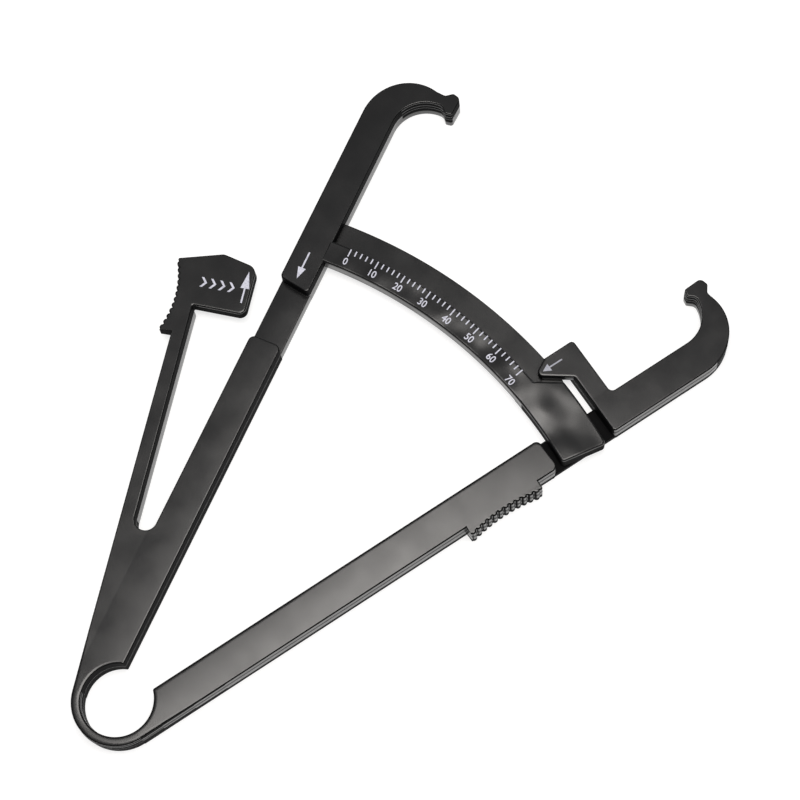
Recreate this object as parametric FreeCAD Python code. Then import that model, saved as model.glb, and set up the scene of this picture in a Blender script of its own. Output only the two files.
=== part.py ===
"""Skinfold caliper: one plastic moulding that works through two flexures.

The caliper lies flat, millimetres, +Z up. The origin is the centre of the ring hole on the rest face,
and +Y runs midway between the two arms towards the jaws. An arm has its own pair of coordinates:
"along" runs from the ring centre to the jaw, and "out" is square to it, away from the other arm.
"""
import FreeCAD, Part
import math
import os

# Whole moulding
THICK = 6.6                 # full thickness of arms, jaws and ring

# Spring ring
RING_HOLE = 8.3             # radius of the hole
RING_OUTER = 10.7           # outer radius, to which all three outer edges are tangent
HOLE_SIDE = 70.0            # a place on the hole's wall, degrees from +Y, between the opening and the ring
HOLE_ROUNDING = 0.4         # rounding of the two corners at the hole's opening

# Arms
ARM_ANGLE = 16.2            # each arm from +Y, at rest
ARM_IN = 2.3                # inner edge from the line through the ring centre
LEFT_OUT = 10.4             # outer edge of the left arm
RIGHT_OUT = RING_OUTER      # outer edge of the right arm
ROOT_END = 20.0             # where the web round the ring ends and the straight handle begins
CORNER = 1.0                # rounding of the free corners, seen from above

# Left arm
HANDLE_END = 91.8           # top end of the left handle
NECK_TOP = 3.2              # the neck is low, so that the lever's head can swing over it
JAW_FOOT_IN = 106.6         # slanted lower end of the left jaw, at its inner edge
JAW_FOOT_OUT = 107.9        # and at its outer edge

# Jaws, the same on both arms
HOOK_START = 150.0
HOOK_OUTER_R = 11.6
HOOK_OUTER_ALONG = 156.1    # centre of the outer curve
HOOK_INNER_R = 8.5
HOOK_INNER_ALONG = 155.7    # centre of the inner curve
HOOK_RISE = 0.4             # how far the outer curve's end stands above its circle
TIP_START = -5.5            # "out" where the hook ends and the contact foot begins
LEFT_FACE_ANGLE = 3.6       # the contact faces are radial, this far inside the arm's axis
RIGHT_FACE_ANGLE = 3.15
TIP_LOW = 163.2
TIP_HIGH = 166.9
TIP_INSTEP = (3.2, 164.0)   # distance behind the contact face, and "along"
TIP_HEEL = (2.1, 162.9)
TIP_CROWN = (1.3, 168.5)
TIP_CROWN_END = (3.8, 167.5)
TIP_ROUNDING = 0.5

# Curved scale, concentric with the ring
SCALE_IN = 115.5
SCALE_STEP = 121.3          # between the raised strip and the recessed rail
SCALE_OUT = 126.8           # outer edge of the end block
RAIL_OUT = 127.4            # outer edge of the rail
SCALE_LOW = 2.5             # underside of the rail and of the end block
BAND_LOW = 3.5              # underside of the raised strip
RAIL_TOP = 4.1
SHOULDER_IN = 11.45         # degrees from +Y where the rail ends, at the step
SHOULDER_OUT = 13.5         # and at the outer edge
BLOCK_END_IN = 21.25
BLOCK_END_OUT = 21.7

# Printed marks
PRINT = 0.08                # thickness of the ink layer as modelled
ZERO_ANGLE = -14.95
FULL_ANGLE = 9.65           # the 70 mm mark
TICK_STEPS = 35             # a mark every 2 mm
TICK_TOP = 121.0
TICK_MINOR = 119.65
TICK_MAJOR = 119.0
TICK_WIDTH = 0.3

# Printed arrows: where the tail and the tip are, "along", then the head's length, its width and the shaft's
JAW_ARROW = (116.3, 109.0, 3.0, 2.0, 0.4)
PRESS_ARROW = (99.2, 107.4, 4.4, 2.2, 0.4)
POINTER_ARROW = (129.4, 124.0, 1.9, 2.0, 0.33)

# Right arm
RIGHT_HANDLE_END = 113.7
BRIDGE_TOP = 2.2
RIGHT_JAW_FOOT = 129.3
BRACKET_TOP = 134.3
BRACKET_END = -13.4
BRACKET_FILLET = 1.2
POINTER_LOW = 4.4
POINTER_SHOULDER = 126.0
POINTER_TIP = (-11.0, 121.7)    # before its rounding
POINTER_TIP_R = 1.3
POINTER_SHOULDER_R = 0.7
POINTER_ROOT = -5.45
POINTER_ARROW_OUT = -10.8

# Press lever
LEVER_ANGLE = 27.8
BLADE_OUT = RING_OUTER
BLADE_IN = 7.25
SLOT_R = 2.65               # round bottom of the slot between blade and handle
FLEX_END = 60.0             # end of the stretch of blade that bends
BLADE_TURN = 52.9           # where the blade turns, in effect
HEAD_LOW = 3.5              # head and thumb grip are a plate that clears the neck
HEAD_FOOT = 96.4
HEAD_IN = -5.6
HEAD_TOP_IN = 108.85
HEAD_PEAK = (3.1, 110.8)
HEAD_CORNER = (14.1, 107.55)
HEAD_ROUNDING = (2.0, 2.6, 1.8, 0.3)    # radii of the peak, the top corner, the foot and the outer corner
PRESS_ARROW_OUT = -4.02

# Scalloped grips: where they start, then the pitch and number of their bumps, then how far the middle
# stands out from the edge that carries the grip, then how much further out its ends stand
THUMB_ROW = (88.75, 1.52, 12, 1.65, 1.8)
FINGER_ROW = (88.1, 1.6, 12, 1.35, 1.15)
FINGER_FOOT = 87.2          # where the finger grip's lower end runs into the handle's edge
NOSE_OUT = 2.3              # the finger grip ends in a rounded nose that stands this far out
NOSE_END = 108.0
NOSE_ROUNDING = 0.4
SCALLOP_DEPTH = 0.45


def arm_point(side, out, along, angle=ARM_ANGLE):
    """A point from an arm's own coordinates. side is 1 for right and -1 for left."""
    turn = math.radians(angle)
    x = side * (along * math.sin(turn) + out * math.cos(turn))
    y = along * math.cos(turn) - out * math.sin(turn)
    return FreeCAD.Vector(x, y, 0)


def left(out, along):
    return arm_point(-1, out, along)


def right(out, along):
    return arm_point(1, out, along)


def lever(out, along):
    return arm_point(-1, out, along, LEVER_ANGLE)


def polar(radius, clock):
    """A point at a radius from the ring centre, clock degrees from +Y towards +X."""
    turn = math.radians(clock)
    return FreeCAD.Vector(radius * math.sin(turn), radius * math.cos(turn), 0)


def outer_edge(side):
    return RIGHT_OUT if side > 0 else LEFT_OUT


def half_chord(radius, offset):
    return math.sqrt(radius * radius - offset * offset)


def slab(steps, low, high):
    """Extrude a closed outline. A step is a point to go straight to, or a pair (middle, end) of an arc."""
    start = steps[0]
    here = start
    edges = []
    for step in steps[1:]:
        if isinstance(step, tuple):
            edges.append(Part.Arc(here, step[0], step[1]).toShape())
            here = step[1]
        else:
            edges.append(Part.makeLine(here, step))
            here = step
    if here.distanceToPoint(start) > 1e-6:
        edges.append(Part.makeLine(here, start))
    face = Part.Face(Part.Wire(edges))
    face.translate(FreeCAD.Vector(0, 0, low))
    return face.extrude(FreeCAD.Vector(0, 0, high - low))


def round_corners(shape, corners):
    """Round upright edges. corners is a list of (point, radius)."""
    for point, radius in corners:
        picked = []
        for edge in shape.Edges:
            a = edge.Vertexes[0].Point
            b = edge.Vertexes[-1].Point
            upright = abs(a.x - b.x) < 1e-6 and abs(a.y - b.y) < 1e-6
            if upright and math.hypot(a.x - point.x, a.y - point.y) < 0.01:
                picked.append(edge)
        if len(picked) != 1:
            raise ValueError("no single upright edge at %.2f, %.2f" % (point.x, point.y))
        shape = shape.makeFillet(radius, picked)
    return shape


def slot_centre():
    """Centre of the round slot bottom, tangent to the handle's outer edge and the blade's inner edge."""
    arm_out = LEFT_OUT + SLOT_R
    lever_out = BLADE_IN - SLOT_R
    a = math.radians(ARM_ANGLE)
    b = math.radians(LEVER_ANGLE)
    spread = math.sin(b - a)
    x = (lever_out * math.sin(a) - arm_out * math.sin(b)) / spread
    y = (arm_out * math.cos(b) - lever_out * math.cos(a)) / spread
    return FreeCAD.Vector(x, y, 0)


def along_of(point, side, angle):
    turn = math.radians(angle)
    return side * point.x * math.sin(turn) + point.y * math.cos(turn)


SLOT = slot_centre()
SLOT_ON_ARM = along_of(SLOT, -1, ARM_ANGLE)
SLOT_ON_LEVER = along_of(SLOT, -1, LEVER_ANGLE)
HOLE_CORNER = half_chord(RING_HOLE, ARM_IN)
HINGE = lever((BLADE_IN + BLADE_OUT) / 2, BLADE_TURN)


# --- spring ring and the webs beside it ---

def flex_ring():
    start, end = 90 + ARM_ANGLE, 270 - LEVER_ANGLE
    middle = (start + end) / 2
    return slab([polar(RING_HOLE, start),
                 (polar(RING_HOLE, middle), polar(RING_HOLE, end)),
                 polar(RING_OUTER, end),
                 (polar(RING_OUTER, middle), polar(RING_OUTER, start))], 0, THICK)


def left_root():
    corner = left(ARM_IN, HOLE_CORNER)
    slot_bottom = SLOT + polar(SLOT_R, 180 - (ARM_ANGLE + LEVER_ANGLE) / 2)
    hole_middle = polar(RING_HOLE, -HOLE_SIDE)
    steps = [corner, left(ARM_IN, ROOT_END), left(LEFT_OUT, ROOT_END), left(LEFT_OUT, SLOT_ON_ARM),
             (slot_bottom, lever(BLADE_IN, SLOT_ON_LEVER)),
             lever(BLADE_OUT, SLOT_ON_LEVER), lever(BLADE_OUT, 0), lever(RING_HOLE, 0),
             (hole_middle, corner)]
    return round_corners(slab(steps, 0, THICK), [(corner, HOLE_ROUNDING)])


def right_root():
    corner = right(ARM_IN, HOLE_CORNER)
    steps = [corner, right(ARM_IN, ROOT_END), right(RIGHT_OUT, ROOT_END), right(RIGHT_OUT, 0),
             right(RING_HOLE, 0), (polar(RING_HOLE, HOLE_SIDE), corner)]
    return round_corners(slab(steps, 0, THICK), [(corner, HOLE_ROUNDING)])


# --- left arm ---

def left_handle():
    ends = [left(ARM_IN, HANDLE_END), left(LEFT_OUT, HANDLE_END)]
    bar = slab([left(ARM_IN, ROOT_END), ends[0], ends[1], left(LEFT_OUT, ROOT_END)], 0, THICK)
    return round_corners(bar, [(end, CORNER) for end in ends])


def left_neck():
    return slab([left(ARM_IN, HANDLE_END), left(ARM_IN, JAW_FOOT_IN), left(LEFT_OUT, JAW_FOOT_OUT),
                 left(LEFT_OUT, HANDLE_END)], 0, NECK_TOP)


def left_jaw():
    feet = [left(ARM_IN, JAW_FOOT_IN), left(LEFT_OUT, JAW_FOOT_OUT)]
    bar = slab([feet[0], left(ARM_IN, HOOK_START), left(LEFT_OUT, HOOK_START), feet[1]], 0, THICK)
    return round_corners(bar, [(foot, CORNER) for foot in feet])


# --- jaws, drawn once and placed on either arm ---

def hook_end(side):
    """Outer and inner corner of the section where the hook ends and the contact foot begins."""
    outer_rise = HOOK_RISE + half_chord(HOOK_OUTER_R, TIP_START - outer_edge(side) + HOOK_OUTER_R)
    inner_rise = half_chord(HOOK_INNER_R, TIP_START - ARM_IN + HOOK_INNER_R)
    return (arm_point(side, TIP_START, HOOK_OUTER_ALONG + outer_rise),
            arm_point(side, TIP_START, HOOK_INNER_ALONG + inner_rise))


def hook(side):
    def at(out, along):
        return arm_point(side, out, along)

    edge = outer_edge(side)
    outer_out = edge - HOOK_OUTER_R
    inner_out = ARM_IN - HOOK_INNER_R
    outer_end, inner_end = hook_end(side)
    bend = math.sqrt(0.5)
    outer_middle = at(outer_out + HOOK_OUTER_R * bend, HOOK_OUTER_ALONG + HOOK_OUTER_R * bend)
    inner_middle = at(inner_out + HOOK_INNER_R * bend, HOOK_INNER_ALONG + HOOK_INNER_R * bend)
    return slab([at(ARM_IN, HOOK_START), at(edge, HOOK_START), at(edge, HOOK_OUTER_ALONG),
                 (outer_middle, outer_end), inner_end,
                 (inner_middle, at(ARM_IN, HOOK_INNER_ALONG))], 0, THICK)


def contact_tip(side):
    slope = math.tan(math.radians(RIGHT_FACE_ANGLE if side > 0 else LEFT_FACE_ANGLE))

    def low(behind, along):
        return arm_point(side, behind - slope * TIP_LOW, along)

    def high(behind, along):
        return arm_point(side, behind - slope * TIP_HIGH, along)

    outer_end, inner_end = hook_end(side)
    toe = low(0, TIP_LOW)
    heel = low(*TIP_HEEL)
    crown = (high(*TIP_CROWN), high(*TIP_CROWN_END))
    foot = slab([outer_end, inner_end, low(*TIP_INSTEP), heel, toe, high(0, TIP_HIGH), crown], 0, THICK)
    return round_corners(foot, [(toe, TIP_ROUNDING), (heel, TIP_ROUNDING)])


# --- curved scale ---

def jaw_wall(radius):
    """Where a circle round the ring centre meets the left jaw's inner wall."""
    return left(ARM_IN, half_chord(radius, ARM_IN))


def scale_band():
    middle = -2.0
    return slab([jaw_wall(SCALE_IN), (polar(SCALE_IN, middle), polar(SCALE_IN, SHOULDER_IN)),
                 polar(SCALE_STEP, SHOULDER_IN), (polar(SCALE_STEP, middle), jaw_wall(SCALE_STEP))],
                BAND_LOW, THICK)


def scale_rail():
    middle = -1.0
    return slab([jaw_wall(SCALE_STEP), (polar(SCALE_STEP, middle), polar(SCALE_STEP, SHOULDER_IN)),
                 polar(SCALE_OUT, SHOULDER_OUT), (polar(RAIL_OUT, middle), jaw_wall(RAIL_OUT))],
                SCALE_LOW, RAIL_TOP)


def scale_end_block():
    ends = [polar(SCALE_IN, BLOCK_END_IN), polar(SCALE_OUT, BLOCK_END_OUT)]
    inner_middle = polar(SCALE_IN, (SHOULDER_IN + BLOCK_END_IN) / 2)
    outer_middle = polar(SCALE_OUT, (SHOULDER_OUT + BLOCK_END_OUT) / 2)
    block = slab([polar(SCALE_IN, SHOULDER_IN), (inner_middle, ends[0]), ends[1],
                  (outer_middle, polar(SCALE_OUT, SHOULDER_OUT)),
                  polar(SCALE_STEP, SHOULDER_IN)], SCALE_LOW, THICK)
    return round_corners(block, [(end, CORNER) for end in ends])


# --- printed marks ---

def scale_ticks():
    ticks = []
    for number in range(TICK_STEPS + 1):
        clock = ZERO_ANGLE + (FULL_ANGLE - ZERO_ANGLE) * number / TICK_STEPS
        foot = TICK_MAJOR if number % 5 == 0 else TICK_MINOR
        tick = Part.makeBox(TICK_WIDTH, TICK_TOP - foot, PRINT, FreeCAD.Vector(-TICK_WIDTH / 2, foot, THICK))
        tick.rotate(FreeCAD.Vector(0, 0, 0), FreeCAD.Vector(0, 0, 1), -clock)
        ticks.append(tick)
    return Part.makeCompound(ticks)


def arrow(at, out, size):
    """A flat printed arrow that runs along an arm."""
    tail_along, tip_along, head_length, head_width, shaft_width = size
    tail = at(out, tail_along)
    tip = at(out, tip_along)
    ahead = (tip - tail).normalize()
    across = FreeCAD.Vector(-ahead.y, ahead.x, 0)
    neck = tip - ahead * head_length
    return slab([tip, neck + across * (head_width / 2), neck + across * (shaft_width / 2),
                 tail + across * (shaft_width / 2), tail - across * (shaft_width / 2),
                 neck - across * (shaft_width / 2), neck - across * (head_width / 2)], THICK, THICK + PRINT)


def jaw_arrow():
    return arrow(left, (ARM_IN + LEFT_OUT) / 2, JAW_ARROW)


def press_arrow():
    return arrow(lever, PRESS_ARROW_OUT, PRESS_ARROW)


def pointer_arrow():
    return arrow(right, POINTER_ARROW_OUT, POINTER_ARROW)


# --- right arm ---

def right_handle():
    ends = [right(ARM_IN, RIGHT_HANDLE_END), right(RIGHT_OUT, RIGHT_HANDLE_END)]
    bar = slab([right(ARM_IN, ROOT_END), ends[0], ends[1], right(RIGHT_OUT, ROOT_END)], 0, THICK)
    return round_corners(bar, [(end, CORNER) for end in ends])


def guide_bridge():
    return slab([right(ARM_IN, RIGHT_HANDLE_END), right(ARM_IN, RIGHT_JAW_FOOT),
                 right(RIGHT_OUT, RIGHT_JAW_FOOT), right(RIGHT_OUT, RIGHT_HANDLE_END)], 0, BRIDGE_TOP)


def right_jaw():
    foot = right(RIGHT_OUT, RIGHT_JAW_FOOT)
    bar = slab([right(ARM_IN, RIGHT_JAW_FOOT), right(ARM_IN, HOOK_START), right(RIGHT_OUT, HOOK_START), foot],
               0, THICK)
    return round_corners(bar, [(foot, CORNER)])


def pointer_bracket():
    top_corner = right(BRACKET_END, BRACKET_TOP)
    bend = BRACKET_FILLET * (1 - math.sqrt(0.5))
    fillet = (right(ARM_IN - bend, BRACKET_TOP + bend), right(ARM_IN - BRACKET_FILLET, BRACKET_TOP))
    inner = [right(ARM_IN, RIGHT_JAW_FOOT), right(ARM_IN, BRACKET_TOP + BRACKET_FILLET)]
    bar = slab(inner + [fillet, top_corner, right(BRACKET_END, RIGHT_JAW_FOOT)], 0, THICK)
    return round_corners(bar, [(top_corner, CORNER)])


def pointer_tongue():
    tip = right(*POINTER_TIP)
    shoulder = right(BRACKET_END, POINTER_SHOULDER)
    tongue = slab([right(BRACKET_END, RIGHT_JAW_FOOT), shoulder, tip, right(POINTER_ROOT, RIGHT_JAW_FOOT)],
                  POINTER_LOW, THICK)
    return round_corners(tongue, [(tip, POINTER_TIP_R), (shoulder, POINTER_SHOULDER_R)])


# --- scalloped grips, drawn once for finger and thumb ---

def scallops(at, base_out, row):
    """Steps along a row of bumps. Their crests lie on a shallow parabola that stands out at both ends."""
    start, pitch, count, lift, flare = row
    half = pitch * count / 2

    def crest(along):
        return base_out + lift + flare * ((along - start - half) / half) ** 2

    steps = []
    for number in range(count):
        top = start + pitch * (number + 0.5)
        end = start + pitch * (number + 1)
        steps.append((at(crest(top), top), at(crest(end) - SCALLOP_DEPTH, end)))
    return at(crest(start) - SCALLOP_DEPTH, start), steps


def finger_grip():
    first, steps = scallops(right, RIGHT_OUT, FINGER_ROW)
    nose = right(RIGHT_OUT + NOSE_OUT, NOSE_END)
    outline = [right(RIGHT_OUT, FINGER_FOOT), first] + steps + [nose, right(RIGHT_OUT, NOSE_END)]
    return round_corners(slab(outline, 0, THICK), [(nose, NOSE_ROUNDING)])


def head_seam():
    """Where the top edge of head and grip crosses the line of the blade's inner edge."""
    share = (HEAD_CORNER[0] - BLADE_IN) / (HEAD_CORNER[0] - HEAD_PEAK[0])
    return lever(BLADE_IN, HEAD_CORNER[1] + share * (HEAD_PEAK[1] - HEAD_CORNER[1]))


def thumb_grip():
    first, steps = scallops(lever, BLADE_OUT, THUMB_ROW)
    corner = lever(*HEAD_CORNER)
    outline = [lever(BLADE_OUT, THUMB_ROW[0]), first] + steps
    outline += [corner, head_seam(), lever(BLADE_IN, HEAD_FOOT), lever(BLADE_OUT, HEAD_FOOT)]
    return round_corners(slab(outline, HEAD_LOW, THICK), [(corner, HEAD_ROUNDING[3])])


# --- press lever ---

def lever_flexure():
    return slab([lever(BLADE_IN, SLOT_ON_LEVER), lever(BLADE_IN, FLEX_END), lever(BLADE_OUT, FLEX_END),
                 lever(BLADE_OUT, SLOT_ON_LEVER)], 0, THICK)


def press_blade():
    return slab([lever(BLADE_IN, FLEX_END), lever(BLADE_IN, HEAD_FOOT), lever(BLADE_OUT, HEAD_FOOT),
                 lever(BLADE_OUT, FLEX_END)], 0, THICK)


def press_head():
    peak = lever(*HEAD_PEAK)
    top = lever(HEAD_IN, HEAD_TOP_IN)
    foot = lever(HEAD_IN, HEAD_FOOT)
    plate = slab([lever(BLADE_IN, HEAD_FOOT), head_seam(), peak, top, foot], HEAD_LOW, THICK)
    return round_corners(plate, [(peak, HEAD_ROUNDING[0]), (top, HEAD_ROUNDING[1]), (foot, HEAD_ROUNDING[2])])


PARTS = {
    "flex_ring": flex_ring,
    "left_root": left_root,
    "left_handle": left_handle,
    "left_neck": left_neck,
    "left_jaw": left_jaw,
    "left_hook": lambda: hook(-1),
    "left_contact_tip": lambda: contact_tip(-1),
    "scale_band": scale_band,
    "scale_rail": scale_rail,
    "scale_end_block": scale_end_block,
    "scale_ticks": scale_ticks,
    "jaw_arrow": jaw_arrow,
    "lever_flexure": lever_flexure,
    "press_blade": press_blade,
    "press_head": press_head,
    "thumb_grip": thumb_grip,
    "press_arrow": press_arrow,
    "right_root": right_root,
    "right_handle": right_handle,
    "finger_grip": finger_grip,
    "guide_bridge": guide_bridge,
    "right_jaw": right_jaw,
    "right_hook": lambda: hook(1),
    "right_contact_tip": lambda: contact_tip(1),
    "pointer_bracket": pointer_bracket,
    "pointer_tongue": pointer_tongue,
    "pointer_arrow": pointer_arrow,
}


def main():
    os.makedirs("parts", exist_ok=True)
    for name, make in PARTS.items():
        shape = make()
        if not shape.isValid():
            raise ValueError(name + " is not a valid solid")
        shape.exportStep("parts/" + name + ".step")
        print("%-18s %d solid(s) %9.2f mm3" % (name, len(shape.Solids), shape.Volume))
    print("lever hinge at %.3f, %.3f" % (HINGE.x, HINGE.y))
    print("slot centre at %.3f, %.3f" % (SLOT.x, SLOT.y))


main()
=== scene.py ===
import math

import bpy
import numpy as np
from mathutils import Matrix

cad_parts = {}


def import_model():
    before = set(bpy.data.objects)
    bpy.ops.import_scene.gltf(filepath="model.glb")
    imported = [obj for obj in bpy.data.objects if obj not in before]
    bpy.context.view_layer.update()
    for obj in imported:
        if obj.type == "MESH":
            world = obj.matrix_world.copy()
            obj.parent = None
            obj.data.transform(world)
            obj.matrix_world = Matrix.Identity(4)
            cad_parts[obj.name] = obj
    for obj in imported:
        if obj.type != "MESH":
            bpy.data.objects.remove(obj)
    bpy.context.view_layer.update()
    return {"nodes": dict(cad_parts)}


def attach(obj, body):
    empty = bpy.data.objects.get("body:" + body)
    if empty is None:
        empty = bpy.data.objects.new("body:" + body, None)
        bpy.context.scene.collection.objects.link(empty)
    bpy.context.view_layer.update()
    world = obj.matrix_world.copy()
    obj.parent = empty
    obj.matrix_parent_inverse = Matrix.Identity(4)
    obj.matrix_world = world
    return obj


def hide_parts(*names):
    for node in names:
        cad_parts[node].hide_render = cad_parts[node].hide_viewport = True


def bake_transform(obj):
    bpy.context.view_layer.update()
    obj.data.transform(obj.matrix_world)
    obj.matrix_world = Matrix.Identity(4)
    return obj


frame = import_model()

print("frame loaded:", len(frame["nodes"]), "nodes")

# Lengths are millimetres until a piece becomes a mesh. A plan point is (x, y); the ring's centre is 0, 0
# and +Y runs midway between the arms. On an arm or on the lever, "out" is square to it, away from the
# other arm, and "along" runs from the ring's centre to its free end.
mould = {
    "thick": 6.6,
    "ringHole": 8.3, "ringOut": 10.695,
    "armLean": 16.2, "leverLean": 27.8,
    "armIn": 2.3, "leftOut": 10.4, "rightOut": 10.7,
    "bladeIn": 7.25, "bladeOut": 10.7,
    "slotRadius": 2.65,
    "corner": 1.0,          # upright corners, seen from above
    "endCorner": 1.5,       # the same at the free end of a handle
    "shoulder": 0.12,       # width of the shallow fall beside each top edge
    "sink": 0.010,          # depth of that fall
    "edge": 0.24,           # rounding of the top edges
    "lowEdge": 0.20,        # rounding of the edges underneath
    "freeEdge": 1.8,        # share of the rounding on the slanted edges of free ends
    "topMargin": 0.04,      # a flat face starts this far inside its rounding
    "lowMargin": 0.05,
    "partLine": 3.5,        # height of the mould's parting line
    "flash": 0.02,          # how far that line stands out of the wall
    "lineHalf": 0.04,       # half its height
    "lineFoot": 0.10,       # the same where it meets the wall
    "draft": 0.012,         # slope of the walls
    "levels": (6.2, 5.95, 5.65, 5.35, 5.05, 4.75, 4.5, 4.05, 2.9, 2.4, 1.9),    # where the painted shade on a wall may start or stop
    "levelGap": 0.05,       # a level keeps this far from a rounding
    "lineGap": 0.15,        # and this far from the parting line
    "press": 0.08,          # thickness of the print
}
noLine = 9.0                # a parting line at this height misses the body, so that none is made
# a grip's ribs: "top" is the share of the rounding at their upper ends, "shine" how squarely a face has to
# look out to stay glossy instead of taking the painted shade of the valleys, "foot" how far out a grip
# starts, "gap" half the least space between two ribs
rib = {"radius": 0.82, "proud": 0.42, "top": 1.5, "shine": 0.9, "foot": 0.6, "least": 0.05, "gap": 0.02}


def spot(side, out, along, lean):
    # plan point from an arm's own out and along; side is 1 for right and -1 for left
    turn = math.radians(lean)
    out = np.asarray(out, float)
    along = np.asarray(along, float)
    return np.stack([side * (along * math.sin(turn) + out * math.cos(turn)),
                     along * math.cos(turn) - out * math.sin(turn)], axis=-1)


def left(out, along):
    return spot(-1, out, along, mould["armLean"])


def right(out, along):
    return spot(1, out, along, mould["armLean"])


def lever(out, along):
    return spot(-1, out, along, mould["leverLean"])


def polar(radius, clock):
    # plan point at a radius from the ring's centre, clock degrees from +Y towards +X
    turn = np.radians(np.asarray(clock, float))
    radius = np.asarray(radius, float)
    return np.stack([radius * np.sin(turn), radius * np.cos(turn)], axis=-1)


def swing(place, centre, radius, start, stop, count):
    # points of an arc drawn in (out, along), angles from out towards along
    turn = np.radians(np.linspace(start, stop, count))
    return place(centre[0] + radius * np.cos(turn), centre[1] + radius * np.sin(turn))


def run(points, top=1.0, low=1.0, radius=0.0, mark=-1):
    # rows of x, y, corner radius and a mark, and the share of the rounding that the top and the low edge
    # take which start there
    points = np.atleast_2d(points)
    tail = [np.broadcast_to(value, len(points)) for value in (radius, mark, top, low)]
    return np.column_stack([points] + tail)


def cut(point):
    # a row whose edge is a cut through solid plastic, where the next piece goes on. The trace of rounding
    # keeps its faces from having no area
    trace = 0.01
    return run(point, trace, trace)


def soften(rows, steps=9):
    # each corner with a radius becomes an arc that touches both of its edges. The last three columns say
    # how far the arc can shrink before it is a sharp corner, and how that corner moves from there on
    never = 99.0
    rows = np.column_stack([rows, np.full(len(rows), never), np.zeros((len(rows), 2))])
    for here in np.flatnonzero(rows[:, 2])[::-1]:
        corner = rows[here, :2]
        back = rows[here - 1, :2] - corner
        ahead = rows[(here + 1) % len(rows), :2] - corner
        back /= np.linalg.norm(back)
        ahead /= np.linalg.norm(ahead)
        half = math.acos(np.clip(back @ ahead, -1, 1)) / 2
        middle = (back + ahead) / np.linalg.norm(back + ahead)
        radius = rows[here, 2]
        centre = corner + middle * radius / math.sin(half)
        first = corner + back * radius / math.tan(half) - centre
        last = corner + ahead * radius / math.tan(half) - centre
        share = np.linspace(0, 1, steps)[:, None]
        arc = first * (1 - share) + last * share
        arc = centre + arc * radius / np.linalg.norm(arc, axis=1, keepdims=True)
        outward = back[0] * ahead[1] - back[1] * ahead[0] < 0
        limit = [radius, *(middle / math.sin(half))] if outward else [never, 0, 0]
        new = np.hstack([arc, np.tile([0, -1, rows[here, 4], rows[here, 5]] + limit, (steps, 1))])
        rows = np.vstack([rows[:here], new, rows[here + 1:]])
    return rows


def turnedLeft(rows):
    # the same outline, running anticlockwise; an edge keeps the rounding it had
    x, y = rows[:, 0], rows[:, 1]
    area = np.sum(x * np.roll(y, -1) - y * np.roll(x, -1))
    if area > 0:
        return rows
    back = rows[::-1].copy()
    back[:, 4:] = np.roll(back[:, 4:], -1, axis=0)
    return back


def inward(rows, column):
    # the step that moves a vertex so that both its edges move inwards by their own share: it solves
    # n1.v = d1 and n2.v = d2, and takes the mean where the two edges run nearly in one line. No step is
    # longer than three insets
    tiny, nearlyStraight, longest = 1e-9, 0.3, 3
    here = rows[:, :2]
    along = np.roll(here, -1, axis=0) - here
    length = np.linalg.norm(along, axis=1)
    isPoint = length < tiny
    along[isPoint] = np.nan
    along /= np.where(isPoint, 1, length)[:, None]
    normal = np.stack([-along[:, 1], along[:, 0]], axis=1)
    normal[isPoint] = np.roll(along, -1, axis=0)[isPoint]
    share = rows[:, column]
    n1, n2 = np.roll(normal, 1, axis=0), normal
    d1, d2 = np.roll(share, 1), share
    det = n1[:, 0] * n2[:, 1] - n1[:, 1] * n2[:, 0]
    straight = np.abs(det) < nearlyStraight
    safe = np.where(straight, 1, det)
    solved = np.stack([(d1 * n2[:, 1] - d2 * n1[:, 1]) / safe,
                       (d2 * n1[:, 0] - d1 * n2[:, 0]) / safe], axis=1)
    mean = (n1 + n2) * ((d1 + d2) / 2 / (1 + np.sum(n1 * n2, axis=1)))[:, None]
    step = np.where(straight[:, None], mean, solved)
    size = np.linalg.norm(step, axis=1, keepdims=True)
    return step * np.minimum(1, longest / np.maximum(size, tiny))


def profile(low, high, topRound, lowRound, part):
    # inset and height from the top face down to the underside: a shallow parabola, an arc, a wall that leans
    # in away from the parting line, the thin flash on that line, the lower wall and a quarter circle
    def wall(z):
        return mould["flash"] + mould["draft"] * np.abs(z - part)

    sink, arcSteps = mould["sink"], 8
    upper = [(wall(high), high)]
    if topRound:
        lean = math.atan(2 * sink / mould["shoulder"])
        share = np.linspace(1, 0, 6)[:-1]
        rim = topRound * (1 - math.sin(lean))
        z = high - sink * (1 - share) ** 2
        upper = [(rim + mould["shoulder"] + mould["topMargin"] + wall(high), high)]
        upper += list(zip(rim + mould["shoulder"] * share + wall(z), z))
        bend = np.linspace(lean, math.pi / 2, arcSteps)
        z = high - sink - topRound * (math.cos(lean) - np.cos(bend))
        upper += list(zip(topRound * (1 - np.sin(bend)) + wall(z), z))
    lower = [(wall(low), low)]
    if lowRound:
        bend = np.radians(np.linspace(0, 90, arcSteps))
        z = low + lowRound * (1 - np.cos(bend))
        lower = [(lowRound + wall(low) + mould["lowMargin"], low)]
        lower += list(zip(lowRound * (1 - np.sin(bend)) + wall(z), z))
    lowEnd = len(lower)
    first, last = low + lowRound + mould["levelGap"], high - topRound - sink - mould["levelGap"]
    for z in mould["levels"]:
        if first < z < last and abs(z - part) > mould["lineGap"]:
            if z > part:
                upper.append((wall(z), z))
            else:
                lower.insert(lowEnd, (wall(z), z))
    half, foot = mould["lineHalf"], mould["lineFoot"]
    above = [(mould["flash"], part + foot), (0.0, part + half)]
    below = [(0.0, part - half), (mould["flash"], part - foot)]
    border = part
    if part == low:
        steps = upper + above + [(0.0, low)]
    elif part == high:
        steps = [(0.0, high)] + below + lower[::-1]
    elif low < part < high:
        steps = upper + above + below + lower[::-1]
    else:
        steps, border = upper + lower[::-1], (low + high) / 2
    steps = np.array(steps)
    return steps, steps[:, 1] >= border


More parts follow.
